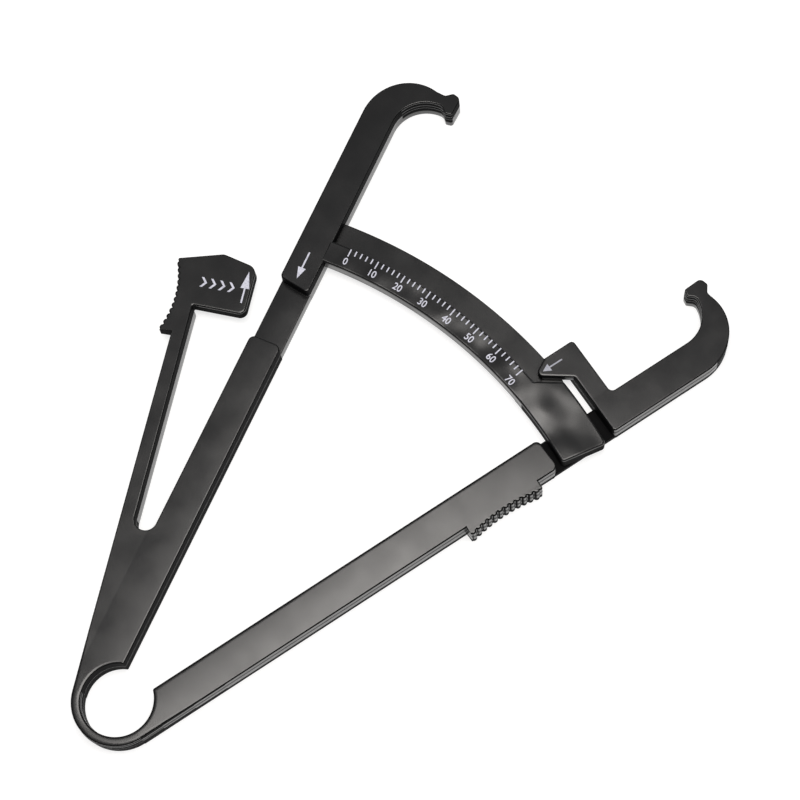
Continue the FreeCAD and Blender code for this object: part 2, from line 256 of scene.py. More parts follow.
def shell(rows, low, high, topRound=None, lowRound=None, part=None, marked=None):
    # a closed body: the outline carried down the profile, every level moved inwards by the level's inset.
    # marked is a function of the insets that places the marked points itself
    topRound = mould["edge"] if topRound is None else topRound
    lowRound = mould["lowEdge"] if lowRound is None else lowRound
    part = mould["partLine"] if part is None else part
    leastShare = 0.01
    rows = soften(turnedLeft(rows))
    steps, isUpper = profile(low, high, topRound, lowRound, part)
    topStep, lowStep = inward(rows, 4), inward(rows, 5)
    isUpper = isUpper[:, None]
    share = np.where(isUpper, rows[:, 4], rows[:, 5])
    inset = np.broadcast_to(steps[:, :1], share.shape)
    limit = rows[:, 6] / np.maximum(share, leastShare)
    move = np.where(isUpper[..., None], topStep, lowStep) * np.minimum(inset, limit)[..., None]
    move = move + rows[:, 7:] * (share * np.maximum(inset - limit, 0))[..., None]
    plan = rows[None, :, :2] + move
    if marked:
        own = np.flatnonzero(rows[:, 3] >= 0)
        insets = steps[:, 0] * np.where(isUpper[:, 0], rib["top"], 1)
        plan[:, own] = marked(insets)[:, rows[own, 3].astype(int)]
    height = np.broadcast_to(steps[:, 1][:, None, None], plan.shape[:2] + (1,))
    points = np.concatenate([plan, height], axis=2).reshape(-1, 3)
    count, levels = len(rows), len(steps)
    grid = np.arange(levels * count).reshape(levels, count)
    upper, lower = grid[:-1], grid[1:]
    quads = np.stack([upper, lower, np.roll(lower, -1, axis=1), np.roll(upper, -1, axis=1)], axis=-1)
    faces = quads.reshape(-1, 4).tolist() + [grid[0].tolist(), grid[-1][::-1].tolist()]
    return points, faces


def addObject(name, data):
    thing = bpy.data.objects.new(name, data)
    bpy.context.scene.collection.objects.link(thing)
    return thing


def makeMesh(name, shells, sharp=38):
    # one mesh from one or more closed bodies, in metres. The last two faces of a body are its flat ends
    points, faces, smooth, base = [], [], [], 0
    for body, sides in shells:
        points.append(body)
        faces += [[corner + base for corner in side] for side in sides]
        smooth += [True] * (len(sides) - 2) + [False] * 2
        base += len(body)
    mesh = bpy.data.meshes.new(name)
    mesh.from_pydata((np.vstack(points) / 1000).tolist(), [], faces)
    mesh.set_sharp_from_angle(angle=math.radians(sharp))
    mesh.polygons.foreach_set("use_smooth", smooth)
    mesh.update()
    return addObject(name, mesh)


# A rule picks the faces that get painted shade from the low-gloss copy of the plastic, a test the faces that
# a rule is for. Both are functions of the middles and the normals of all faces. A face is steep while its
# normal's height is below these limits.
steepLimit, edgeLimit = 0.86, 0.97


def walls(*bands, steep=steepLimit):
    # a rule for the steep faces whose middle lies in one of the bands of height
    def rule(middle, normal):
        inBand = np.any([(middle[:, 2] > low) & (middle[:, 2] < high) for low, high in bands], axis=0)
        return inBand & (np.abs(normal[:, 2]) < steep)
    return rule


def either(test, first, second):
    # the first rule where the test holds, the second one elsewhere
    def rule(middle, normal):
        return np.where(test(middle, normal), first(middle, normal), second(middle, normal))
    return rule


def looking(direction, least):
    # a test for the faces that look along a direction
    def test(middle, normal):
        return normal[:, :2] @ direction > least
    return test


def beyond(direction, least):
    # a test for the faces that lie farther than least along a direction
    def test(middle, normal):
        return middle[:, :2] @ direction > least
    return test


def valleys(place, base, row, other):
    # the valleys of a grip, where painted shade stands for the shade between the ribs, and whatever another
    # rule picks
    def rule(middle, normal):
        outward, ahead = place(1, 0), place(0, 1)
        along = middle[:, :2] @ ahead - row["start"]
        inRow = (along > 0) & (along < row["pitch"] * row["count"])
        onGrip = inRow & (middle[:, :2] @ outward > base + rib["foot"])
        valley = onGrip & (np.abs(normal[:, 2]) < steepLimit) & (normal[:, :2] @ outward < rib["shine"])
        return valley | other(middle, normal)
    return rule


def dress(piece, material, rule):
    # the faces that a rule picks get the low-gloss copy of the plastic, which paints shade on them; the
    # others keep the glossy plastic
    mesh = piece.data
    normal, middle = np.empty((2, len(mesh.polygons), 3))
    mesh.polygons.foreach_get("normal", normal.reshape(-1))
    mesh.polygons.foreach_get("center", middle.reshape(-1))
    isShaded = rule(middle * 1000, normal)
    mesh.materials.append(material)
    mesh.materials.append(paintedShade)
    mesh.polygons.foreach_set("material_index", isShaded.astype(np.int32))


def fit(piece, body, nodes, material, shadeRule=None):
    # gives a piece its finish, the nodes that it stands in for and the body that it rides on
    # with a shade rule, the faces that it picks get painted shade from the low-gloss copy of the plastic
    if shadeRule is None:
        piece.data.materials.append(material)
    else:
        dress(piece, material, shadeRule)
    if nodes:
        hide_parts(*nodes)
    if body:
        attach(piece, body)
    return piece


def addValue(tree, kind, **values):
    node = tree.nodes.new(kind)
    for name, value in values.items():
        setattr(node, name, value)
    return node


def wire(tree, source, target, output=0, entry=0):
    tree.links.new(source.outputs[output], target.inputs[entry])


def addMath(tree, operation, *entries):
    # an entry is a number, or a node and the output of it that comes in
    node = addValue(tree, "ShaderNodeMath", operation=operation)
    for number, entry in enumerate(entries):
        if isinstance(entry, tuple):
            wire(tree, entry[0], node, entry[1], number)
        else:
            node.inputs[number].default_value = entry
    return node


def addNoise(tree, source, output, scale, detail):
    node = addValue(tree, "ShaderNodeTexNoise")
    node.inputs["Scale"].default_value = scale
    node.inputs["Detail"].default_value = detail
    wire(tree, source, node, output, "Vector")
    return node


def addRange(tree, source, output, bounds, results):
    # the bounds of a value become the results
    node = addValue(tree, "ShaderNodeMapRange")
    for name, value in zip(("From Min", "From Max", "To Min", "To Max"), (*bounds, *results)):
        node.inputs[name].default_value = value
    wire(tree, source, node, output)
    return node


def addRamp(tree, source, output, stops):
    # a stop is a position and a colour. A new ramp has two stops, and takes on the others
    node = addValue(tree, "ShaderNodeValToRGB")
    elements = node.color_ramp.elements
    for number, (position, color) in enumerate(stops):
        stop = elements[number] if number < 2 else elements.new(position)
        stop.position = position
        stop.color = (*color, 1)
    wire(tree, source, node, output)
    return node


def newMaterial(name):
    material = bpy.data.materials.new(name)
    material.use_nodes = True
    tree = material.node_tree
    return material, tree, tree.nodes["Principled BSDF"]


skinLook = {
    "ripple": (75, 1.0), "grain": (5200, 2.0), "cloud": (130, 4.0),              # scale and detail
    "crownReach": 0.005, "rippleHeight": 0.00010, "grainHeight": 0.0000012,      # metres
    "cloudBounds": (0.3, 0.7), "glossSpread": (-0.03, 0.05),
    "tint": ((0.3, (0.0045, 0.0045, 0.005)), (0.75, (0.0075, 0.0075, 0.0078))),
}


def skinGroup():
    # moulded plastic: fine grain, slow ripples where thick places shrank, a crown across the bar, and
    # cloudy patches in the gloss. Offset is the distance from the bar's middle, in metres.
    group = bpy.data.node_groups.new("mouldedSkin", "ShaderNodeTree")
    face = group.interface
    face.new_socket(name="Position", in_out="INPUT", socket_type="NodeSocketVector")
    for name, value in (("Offset", 0.0), ("Crown", 5.0), ("Ripple", 1.0), ("Gloss", 0.3)):
        face.new_socket(name=name, in_out="INPUT", socket_type="NodeSocketFloat").default_value = value
    for name, kind in (("Color", "Color"), ("Roughness", "Float"), ("Height", "Float")):
        face.new_socket(name=name, in_out="OUTPUT", socket_type="NodeSocket" + kind)
    inner = addValue(group, "NodeGroupInput")
    outer = addValue(group, "NodeGroupOutput")
    ripple = addNoise(group, inner, "Position", *skinLook["ripple"])
    grain = addNoise(group, inner, "Position", *skinLook["grain"])
    cloud = addNoise(group, inner, "Position", *skinLook["cloud"])

    square = addMath(group, "MULTIPLY", (inner, "Offset"), (inner, "Offset"))
    narrow = addMath(group, "MINIMUM", (square, 0), skinLook["crownReach"] ** 2)
    crown = addMath(group, "MULTIPLY", (narrow, 0), (inner, "Crown"))
    down = addMath(group, "MULTIPLY", (crown, 0), -1.0)
    wave = addMath(group, "MULTIPLY", (ripple, 0), (inner, "Ripple"))
    waves = addMath(group, "MULTIPLY_ADD", (wave, 0), skinLook["rippleHeight"], (down, 0))
    height = addMath(group, "MULTIPLY_ADD", (grain, 0), skinLook["grainHeight"], (waves, 0))
    wire(group, height, outer, 0, "Height")

    spread = addRange(group, cloud, 0, skinLook["cloudBounds"], skinLook["glossSpread"])
    rough = addMath(group, "ADD", (spread, 0), (inner, "Gloss"))
    wire(group, rough, outer, 0, "Roughness")
    tint = addRamp(group, cloud, 0, skinLook["tint"])
    wire(group, tint, outer, 0, "Color")
    return group


skin = skinGroup()


def plastic(name, lean=None, middle=0.0, crown=1.6, ripple=1.0, gloss=0.22):
    # black plastic for one bar. A negative lean is on the left; without one the bar runs round the ring
    material, tree, shader = newMaterial(name)
    shader.inputs["IOR"].default_value = 1.5
    place = addValue(tree, "ShaderNodeTexCoord")
    group = addValue(tree, "ShaderNodeGroup", node_tree=skin)
    wire(tree, place, group, "Object", "Position")
    flatten = addValue(tree, "ShaderNodeVectorMath", operation="MULTIPLY")
    flatten.inputs[1].default_value = (1, 1, 0)
    wire(tree, place, flatten, "Object", 0)
    across = addValue(tree, "ShaderNodeVectorMath", operation="LENGTH")
    if lean is not None:
        across.operation = "DOT_PRODUCT"
        side = math.copysign(1, lean)
        across.inputs[1].default_value = (*spot(side, 1, 0, abs(lean)), 0)
    wire(tree, flatten, across)
    offset = addMath(tree, "SUBTRACT", (across, "Value"), middle / 1000)
    wire(tree, offset, group, 0, "Offset")
    group.inputs["Crown"].default_value = crown
    group.inputs["Ripple"].default_value = ripple
    group.inputs["Gloss"].default_value = gloss
    bump = addValue(tree, "ShaderNodeBump")
    bump.inputs["Strength"].default_value = 1.0
    bump.inputs["Distance"].default_value = 1.0
    wire(tree, group, bump, "Height", "Height")
    wire(tree, bump, shader, 0, "Normal")
    wire(tree, group, shader, "Color", "Base Color")
    wire(tree, group, shader, "Roughness", "Roughness")
    return material


def fadeCrown(material, clock, first, last):
    # the crown grows from nothing at one distance along a direction to its full size at another
    tree = material.node_tree
    group = next(node for node in tree.nodes if node.type == "GROUP")
    place = addValue(tree, "ShaderNodeTexCoord")
    ahead = addValue(tree, "ShaderNodeVectorMath", operation="DOT_PRODUCT")
    ahead.inputs[1].default_value = (*polar(1, clock), 0)
    wire(tree, place, ahead, "Object", 0)
    full = group.inputs["Crown"].default_value
    grow = addRange(tree, ahead, "Value", (first / 1000, last / 1000), (0, full))
    wire(tree, grow, group, 0, "Crown")


# the middle of each bar: its distance out, or from the ring's centre
middles = {"left": 6.35, "right": 6.45, "lever": 4.0, "neck": 5.5, "scale": 121.0, "ring": 9.4}
# a low-gloss copy of the black plastic that hardly reflects anything: it paints shade on the walls and
# recesses it is put on
paintedShade = plastic("paintedShadeWall", None, middles["ring"], crown=0.0, gloss=0.55)
paintedShade.node_tree.nodes["Principled BSDF"].inputs["Specular IOR Level"].default_value = 0.015
finish = {
    "left": plastic("blackPlasticLeft", -mould["armLean"], middles["left"], ripple=0.45),
    "right": plastic("blackPlasticRight", mould["armLean"], middles["right"], crown=2.0, ripple=0.6),
    "lever": plastic("blackPlasticLever", -mould["leverLean"], middles["lever"], crown=0.0),
    "neck": plastic("blackPlasticNeck", -mould["armLean"], middles["neck"], crown=4.0),
    "scale": plastic("blackPlasticScale", None, middles["scale"], crown=0.0),
    "block": plastic("blackPlasticBlock", None, middles["scale"], crown=0.0, ripple=13.0),
    "ring": plastic("blackPlasticRing", None, middles["ring"], crown=50.0),
}
fadeCrown(finish["ring"], clock=219, first=-3.6, last=4.0)

# Bands of height whose steep faces get painted shade from the low-gloss copy of the plastic. The ends between
# bands are levels of the mould, or lie beside the parting line; what the bands leave out is a thin line of
# unshaded glossy plastic that runs along the wall.
roof, ground, overLine, underLine = 9.0, -1.0, 3.6, 3.4
noWall = walls()
upperWall = walls((overLine, roof))
bothWalls = walls((overLine, roof), (ground, underLine))
linedWall = walls((6.2, roof), (5.05, 5.95), (overLine, 4.75), (ground, underLine))
rightWalls = walls((5.95, roof), (4.05, 4.5), (ground, 1.9), steep=edgeLimit)
hookWalls = walls((6.2, roof), (4.75, 5.95), (overLine, 4.5), (1.9, underLine))
headWalls = walls((6.2, roof), (overLine, 5.95))
blockWalls = walls((ground, 5.95))

inkLook = {
    "scale": 2600, "detail": 3.0, "rough": (0.55, 0.75),
    "stops": ((0.32, (0.44, 0.44, 0.52)), (0.52, (0.66, 0.67, 0.77))),
}


def printMaterial(name, strength):
    # pale ink: slightly uneven cover over the black
    material, tree, shader = newMaterial(name)
    place = addValue(tree, "ShaderNodeTexCoord")
    cover = addNoise(tree, place, "Object", inkLook["scale"], inkLook["detail"])
    stops = [(position, [level * strength for level in color]) for position, color in inkLook["stops"]]
    wire(tree, addRamp(tree, cover, 0, stops), shader, 0, "Base Color")
    wire(tree, addRange(tree, cover, 0, (0, 1), inkLook["rough"]), shader, 0, "Roughness")
    return material


ink = printMaterial("paleInk", 0.9)
thinInk = printMaterial("thinInk", 0.55)
print("materials ready")


def slotCentre():
    # the round bottom of the slot touches the handle's outer edge and the blade's inner edge
    a, b = math.radians(mould["armLean"]), math.radians(mould["leverLean"])
    armSide = mould["leftOut"] + mould["slotRadius"]
    leverSide = mould["bladeIn"] - mould["slotRadius"]
    spread = math.sin(b - a)
    return np.array([(leverSide * math.sin(a) - armSide * math.sin(b)) / spread,
                     (armSide * math.cos(b) - leverSide * math.cos(a)) / spread])


slot = slotCentre()
slotOnLever = slot @ lever(0, 1)

# Clock angles of the ring's cuts, the share of rounding of its edges, and how far up an arm's outer edge
# that share falls back to one.
ringCut = {"right": 90 + mould["armLean"], "left": 270 - mould["leverLean"], "edge": 2.6, "taper": 14.0}
# Where an arm's inner edge meets the ring hole: the share and radius of that corner, and how many of the
# hole's points it takes up.
cornerAlong = math.sqrt(mould["ringHole"] ** 2 - mould["armIn"] ** 2)
cornerClock = mould["armLean"] + math.degrees(math.asin(mould["armIn"] / mould["ringHole"]))
holeCorner = {"left": {"edge": 1.9, "radius": 0.35, "points": 1},
              "right": {"edge": 2.95, "radius": 0.7, "points": 3}}


def ringPiece():
    # two arcs round the ring's centre; the limb's edges are rounder than those of the arms
    inner = polar(mould["ringHole"], np.linspace(ringCut["right"], ringCut["left"], 49))
    outer = polar(mould["ringOut"], np.linspace(ringCut["left"], ringCut["right"], 49))
    edge = ringCut["edge"]
    rows = np.vstack([
        run(inner[:-1], edge, edge), cut(inner[-1]),
        run(outer[:-1], edge, edge), cut(outer[-1])])
    piece = makeMesh("flexRing", [shell(rows, 0, mould["thick"])])
    dress(piece, finish["ring"], linedWall)
    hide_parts("flex_ring")
    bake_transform(piece)


def holeArc(start, stop, corner):
    # the web's share of the ring hole, from the arm's inner edge to the ring's cut. It leaves room for the
    # corner's rounding
    arc = polar(mould["ringHole"], np.linspace(start, stop, 28))[corner["points"]:-1]
    return run(arc, np.linspace(corner["edge"], ringCut["edge"], len(arc)))


leftArm = {"handleEnd": 91.8, "neckOut": 10.4, "neckTop": 3.2, "neckEdge": 0.2,
           "footIn": 106.6, "footOut": 107.9,       # where the jaw's full thickness starts
           "underIn": 1.0, "underOut": 0.9}         # how far the neck runs on under the jaw


def leftHandle():
    # a bar between two straight edges, and the web that it shares with the lever: the slot between them ends
    # in an arc about its own centre, and the ring hole cuts the web in another arc
    corner = holeCorner["left"]
    taper = np.linspace(0, ringCut["taper"], 6)
    outside = run(lever(mould["bladeOut"], taper), np.linspace(ringCut["edge"], 1, len(taper)))
    turn = np.radians(np.linspace(180 + mould["leverLean"], 360 + mould["armLean"], 25))
    slotArc = slot + mould["slotRadius"] * np.stack([np.cos(turn), np.sin(turn)], axis=1)
    rows = np.vstack([
        cut(polar(mould["ringHole"], ringCut["left"])), outside,
        cut(lever(mould["bladeOut"], slotOnLever)), run(slotArc),
        run(left(mould["leftOut"], leftArm["handleEnd"]), 1, 0, mould["endCorner"]),
        run(left(mould["armIn"], leftArm["handleEnd"]), 1, 1, mould["endCorner"]),
        run(left(mould["armIn"], cornerAlong), radius=corner["radius"]),
        holeArc(360 - cornerClock, ringCut["left"], corner)])
    fit(makeMesh("leftHandle", [shell(rows, 0, mould["thick"])]), "left_arm", ["left_root", "left_handle"],
        finish["left"], bothWalls)


def leftNeck():
    # a low bar between two straight edges, from inside the handle's end to under the jaw
    start = leftArm["handleEnd"] - mould["corner"]
    rows = np.vstack([
        cut(left(mould["armIn"], start)), run(left(leftArm["neckOut"], start)),
        cut(left(leftArm["neckOut"], leftArm["footOut"] + leftArm["underOut"])),
        run(left(mould["armIn"], leftArm["footIn"] + leftArm["underIn"]))])
    fit(makeMesh("leftNeck", [shell(rows, 0, leftArm["neckTop"], leftArm["neckEdge"], part=noLine)]),
        "left_arm", ["left_neck"], finish["neck"])


# the foot's corners are out from the contact face's line, along, and radius
jaw = {"hookStart": 150.0, "outerRadius": 11.6, "outerAlong": 155.8, "innerRadius": 8.5, "innerAlong": 155.9,
       "outerRise": 0.6, "outerEnd": -4.3, "innerEnd": 3.6, "leftFace": 3.6, "rightFace": 3.15,
       "footAlong": 163, "crown": ((3.9, 167.35, 0.9), (2.3, 168.65, 0.8), (0.05, 168.1, 1.35)),
       "toe": ((0.0, 163.1, 0.75), (1.75, 162.85, 0.5), (2.95, 164.1, 0.7))}


def leftJaw():
    # a bar between two straight edges with a slanted lower end
    rows = np.vstack([
        cut(left(mould["armIn"], jaw["hookStart"])), run(left(mould["leftOut"], jaw["hookStart"])),
        run(left(mould["leftOut"], leftArm["footOut"]), mould["freeEdge"], 0, mould["corner"]),
        run(left(mould["armIn"], leftArm["footIn"]), 1, 1, mould["corner"])])
    fit(makeMesh("leftJaw", [shell(rows, 0, mould["thick"])]), "left_arm", ["left_jaw"], finish["left"],
        upperWall)


def hook(name, place, outEdge, faceAngle, body, nodes, material, rule):
    # outer and inner edge are arcs that leave the jaw's edges smoothly, the outer one drawn out a little
    # ahead; the foot at their end has a flat contact face on a line through the ring's centre, a rounded
    # crown above it and a knob for a toe
    slope = math.tan(math.radians(faceAngle))

    def bend(edge, radius, along, last):
        centre = edge - radius
        stop = 90 - math.degrees(math.asin((last - centre) / radius))
        return swing(place, (centre, along), radius, 0, stop, 28)

    outside = bend(outEdge, jaw["outerRadius"], jaw["outerAlong"], jaw["outerEnd"])
    rise = (outside - place(outEdge, jaw["outerAlong"])) @ place(0, 1) / jaw["outerRadius"]
    outside = outside + jaw["outerRise"] * rise[:, None] * place(0, 1)
    innerEnd = jaw["innerEnd"] - slope * jaw["footAlong"]
    inside = bend(mould["armIn"], jaw["innerRadius"], jaw["innerAlong"], innerEnd)
    foot = [run(place(out - slope * along, along), radius=radius)
            for out, along, radius in jaw["crown"] + jaw["toe"]]
    rows = np.vstack([
        cut(place(mould["armIn"], jaw["hookStart"])), run(place(outEdge, jaw["hookStart"])), run(outside),
        *foot, run(inside[::-1])])
    fit(makeMesh(name, [shell(rows, 0, mould["thick"])]), body, nodes, material, rule)


scale = {"inner": 115.5, "step": 121.3, "blockOut": 126.8, "railOut": 127.4, "railLow": 2.5, "bandLow": 3.5,
         "railTop": 4.1, "shoulderIn": 11.45, "shoulderOut": 13.5, "endIn": 21.25, "endOut": 21.7,
         "start": -17.55, "shoulderRadius": 0.5, "stripEdge": 0.5, "blockLowEdge": 0.3, "railEdge": 0.15,
         "block": 12.5}         # clock angle from which the top is the block's
# The rail reaches under the strip by "under", and into the block by so many degrees at its inner edge, its
# outer edge and its end. The end steps back by the last value.
railTuck = {"under": 0.1, "in": 1, "out": 0.1, "end": 0.6, "back": 0.7}


def scalePieces():
    # strip and end block share one upper body, because their top is one face; the block's lower layer
    # and the recessed rail are bodies of their own
    blockArc = polar(scale["blockOut"], np.linspace(scale["shoulderOut"], scale["endOut"], 12))
    blockEnd = [run(blockArc[0], radius=scale["shoulderRadius"]), run(blockArc[1:-1]),
                run(blockArc[-1], radius=mould["corner"]),
                run(polar(scale["inner"], scale["endIn"]), radius=mould["corner"])]
    upper = np.vstack([
        cut(polar(scale["inner"], scale["start"])),
        run(polar(scale["step"], np.linspace(scale["start"], scale["shoulderIn"], 48)))] + blockEnd
        + [run(polar(scale["inner"], np.linspace(scale["endIn"], scale["start"], 60))[1:-1])])
    lower = np.vstack([
        run(polar(scale["inner"], scale["shoulderIn"])),
        run(polar(scale["step"], scale["shoulderIn"]))] + blockEnd
        + [run(polar(scale["inner"], np.linspace(scale["endIn"], scale["shoulderIn"], 16))[1:-1])])
    parting = scale["bandLow"]
    bodies = [shell(upper, scale["bandLow"], mould["thick"], scale["stripEdge"], 0, parting),
              shell(lower, scale["railLow"], scale["bandLow"], 0, scale["blockLowEdge"], parting)]
    onBlock = beyond(polar(1, 90 + scale["block"]), 0)
    fit(makeMesh("scaleStrip", bodies), "left_arm", ["scale_band", "scale_end_block"], finish["block"],
        either(onBlock, blockWalls, noWall))
    innerClocks = np.linspace(scale["shoulderIn"] + railTuck["in"], scale["start"], 50)
    outerClocks = np.linspace(scale["start"], scale["shoulderOut"] + railTuck["out"], 50)
    under = scale["step"] - railTuck["under"]
    rail = np.vstack([
        run(polar(under, innerClocks)[:-1], 0, 1), cut(polar(under, scale["start"])),
        run(polar(scale["railOut"], outerClocks)[:-1]),
        cut(polar(scale["railOut"] - railTuck["back"], scale["shoulderOut"] + railTuck["end"]))])
    edge = scale["railEdge"]
    fit(makeMesh("scaleRail", [shell(rail, scale["railLow"], scale["railTop"], edge, edge, noLine)]),
        "left_arm", ["scale_rail"], finish["scale"])


# the plate's edge turns into a grip this far ahead of the first rib: "lead"
thumbRow = {"start": 88.75, "pitch": 1.52, "count": 12, "lift": 1.65, "flare": 1.8, "lead": -0.1}
fingerRow = {"start": 88.1, "pitch": 1.6, "count": 12, "lift": 1.35, "flare": 1.15, "lead": 0.15}


def crest(base, row, share):
    # a shallow parabola that stands out at both ends of the row
    return base + row["lift"] + row["flare"] * (2 * share - 1) ** 2


def ribs(place, base, row):
    # half-round posts side by side. An inset shrinks every post about its own centre, so that the valleys
    # grow wider; between the posts runs the edge of the plate
    count, half = row["count"], row["pitch"] / 2
    bend = np.radians(np.linspace(-90, 90, 13)[:-1])

    def at(inset):
        inset = inset[:, None, None]
        centre = ((np.arange(count) + 0.5) / count)[None, :, None]
        size = np.maximum(rib["radius"] - inset, rib["least"])
        side = np.clip(size * np.sin(bend), rib["gap"] - half, half - rib["gap"])
        out = crest(base, row, centre) - rib["radius"] + np.sqrt(np.maximum(size ** 2 - side ** 2, 0))
        side, out = side + 0 * out, out + 0 * side
        side[..., 0] = -half
        share = centre + side / (2 * half * count)
        valley = crest(base, row, share) - rib["proud"] - inset
        out = np.maximum(out, valley)
        out[..., 0] = valley[..., 0]
        points = place(out, row["start"] + 2 * half * count * share).reshape(len(inset), -1, 2)
        lastOut = base + row["lift"] + row["flare"] - rib["proud"] - inset[:, 0]
        last = place(lastOut, row["start"] + 2 * half * count)
        return np.concatenate([points, last], axis=1)

    rest = at(np.zeros(1))[0]
    return run(rest, mark=np.arange(len(rest))), at


rightArm = {"handleEnd": 113.7, "bridgeTop": 2.2, "bridgeEdge": 0.4, "bridgeUnder": 1, "jawFoot": 129.3,
            "bracketTop": 134.3, "bracketEnd": -13.4, "bracketFillet": 1.2, "tongueLow": 4.4,
            "shoulder": 126.0, "shoulderRadius": 0.7, "lowRadius": 0.3,
            "tip": (-11.0, 121.7), "tipRadius": 1.3, "root": -5.45, "rootRadius": 0.6,
            "nose": (13.0, 108.0), "noseRadius": 0.45}
# The inner edge grows rounder between two places along the arm.
innerEdge = {"from": 60, "to": 12, "edge": 2.4, "count": 10}
# The outer wall's glossy line, and the heights that its painted shade reaches down and up to where the handle
# starts; from there to the ring it creeps on by "down" and "up".
rootWall = {"line": (4.05, 4.5), "upper": 5.05, "down": 0.9, "lower": 3.4, "up": 1.5, "edgeFrom": 9.4}


def rootFade(middle, normal):
    # the painted shade of the outer wall, which changes in straight ramps along the root
    share = np.clip(middle[:, :2] @ right(0, 1) / (2 * ringCut["taper"]), 0, 1)
    height = middle[:, 2]
    line = (height > rootWall["line"][0]) & (height < rootWall["line"][1])
    upper = height > rootWall["upper"] + rootWall["down"] * share
    lower = height < rootWall["lower"] - rootWall["up"] * share
    return (np.abs(normal[:, 2]) < edgeLimit) & (line | upper | lower)


def farFromRing(middle, normal):
    # a test for the faces outside the ring hole's own wall
    return np.hypot(middle[:, 0], middle[:, 1]) > rootWall["edgeFrom"]


def rightHandle():
    # a bar between two straight edges, with the grip's ribs on the outer one and an arc of the ring hole at
    # its foot
    corner = holeCorner["right"]
    grip, gripAt = ribs(right, mould["rightOut"], fingerRow)
    taper = np.linspace(0, 2 * ringCut["taper"], 11)
    taperEdge = np.interp(taper, [0, ringCut["taper"]], [ringCut["edge"], 1])
    inner = np.linspace(innerEdge["from"], innerEdge["to"], innerEdge["count"])
    innerShare = np.linspace(innerEdge["edge"], corner["edge"], innerEdge["count"])
    rows = np.vstack([
        cut(polar(mould["ringHole"], ringCut["right"])),
        run(right(mould["rightOut"], taper), taperEdge),
        run(right(mould["rightOut"], fingerRow["start"] - fingerRow["lead"])), grip,
        run(right(*rightArm["nose"]), radius=rightArm["noseRadius"]),
        run(right(mould["rightOut"], rightArm["nose"][1])),
        run(right(mould["rightOut"], rightArm["handleEnd"]), 1, 0, mould["endCorner"]),
        run(right(mould["armIn"], rightArm["handleEnd"]), innerEdge["edge"], 1, mould["endCorner"]),
        run(right(mould["armIn"], inner), innerShare),
        run(right(mould["armIn"], cornerAlong), corner["edge"], radius=corner["radius"]),
        holeArc(cornerClock, ringCut["right"], corner)])
    fit(makeMesh("rightHandle", [shell(rows, 0, mould["thick"], marked=gripAt)]), "right_arm",
        ["right_root", "right_handle", "finger_grip"], finish["right"],
        valleys(right, mould["rightOut"], fingerRow, either(farFromRing, rootFade, linedWall)))


def guideBridge():
    # a low bar between two straight edges, from inside the handle's end to inside the jaw's foot
    start = rightArm["handleEnd"] - rightArm["bridgeUnder"]
    end = rightArm["jawFoot"] + rightArm["bridgeUnder"]
    rows = np.vstack([
        cut(right(mould["armIn"], start)), run(right(mould["rightOut"], start)),
        cut(right(mould["rightOut"], end)), run(right(mould["armIn"], end))])
    # the whole bridge takes the low-gloss copy of the plastic: painted shade for this recess between the
    # handle's end and the jaw's foot
    fit(makeMesh("guideBridge", [shell(rows, 0, rightArm["bridgeTop"], rightArm["bridgeEdge"], part=noLine)]),
        "right_arm", ["guide_bridge"], paintedShade)


def rightJaw():
    # the upper body is jaw, bracket and pointer in one; the lower one is without the pointer
    foot, top, end = rightArm["jawFoot"], rightArm["bracketTop"], rightArm["bracketEnd"]
    free = mould["freeEdge"]
    arm = [cut(right(mould["armIn"], jaw["hookStart"])), run(right(mould["rightOut"], jaw["hookStart"])),
           run(right(mould["rightOut"], foot), free, 0, mould["corner"])]
    bracket = [run(right(end, top), radius=mould["corner"]),
               run(right(mould["armIn"], top), radius=rightArm["bracketFillet"])]
    upper = np.vstack(arm + [
        run(right(rightArm["root"], foot), free, radius=rightArm["rootRadius"]),
        run(right(*rightArm["tip"]), free, radius=rightArm["tipRadius"]),
        run(right(end, rightArm["shoulder"]), radius=rightArm["shoulderRadius"])] + bracket)
    lower = np.vstack(arm + [
        cut(right(mould["armIn"], foot)), run(right(mould["armIn"], foot)),
        run(right(end, foot), radius=rightArm["lowRadius"])] + bracket)
    bodies = [shell(upper, rightArm["tongueLow"], mould["thick"], None, 0),
              shell(lower, 0, rightArm["tongueLow"], 0)]
    fit(makeMesh("rightJaw", bodies), "right_arm", ["right_jaw", "pointer_bracket", "pointer_tongue"],
        finish["right"], either(looking(right(1, 0), least=0.7), rightWalls, bothWalls))


press = {"flexEnd": 60.0, "flexOut": 9, "headFoot": 96.4, "headLow": 3.5, "headIn": -5.6, "headTopIn": 108.85,
         "peak": (3.1, 110.8), "outCorner": (14.1, 107.55), "outRadius": 0.45, "peakRadius": 2.0,
         "topRadius": 2.6, "footRadius": 1.8, "neckRadius": 0.3, "lowRadius": 0.5,
         "plateGap": 0.2}       # the head's own walls start this far inside the blade


def leverFlexure():
    # a bar between two straight edges, cut into short steps along them
    inner, outer = mould["bladeIn"], mould["bladeOut"]
    stretch = np.linspace(slotOnLever, press["flexEnd"], 21)
    rows = np.vstack([run(lever(outer, stretch[:-1])), cut(lever(outer, press["flexEnd"])),
                      run(lever(inner, stretch[:0:-1])), cut(lever(inner, slotOnLever))])
    flexure = makeMesh("leverFlexure", [shell(rows, 0, mould["thick"])])
    dress(flexure, finish["lever"], upperWall)
    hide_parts("lever_flexure")
    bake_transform(flexure)


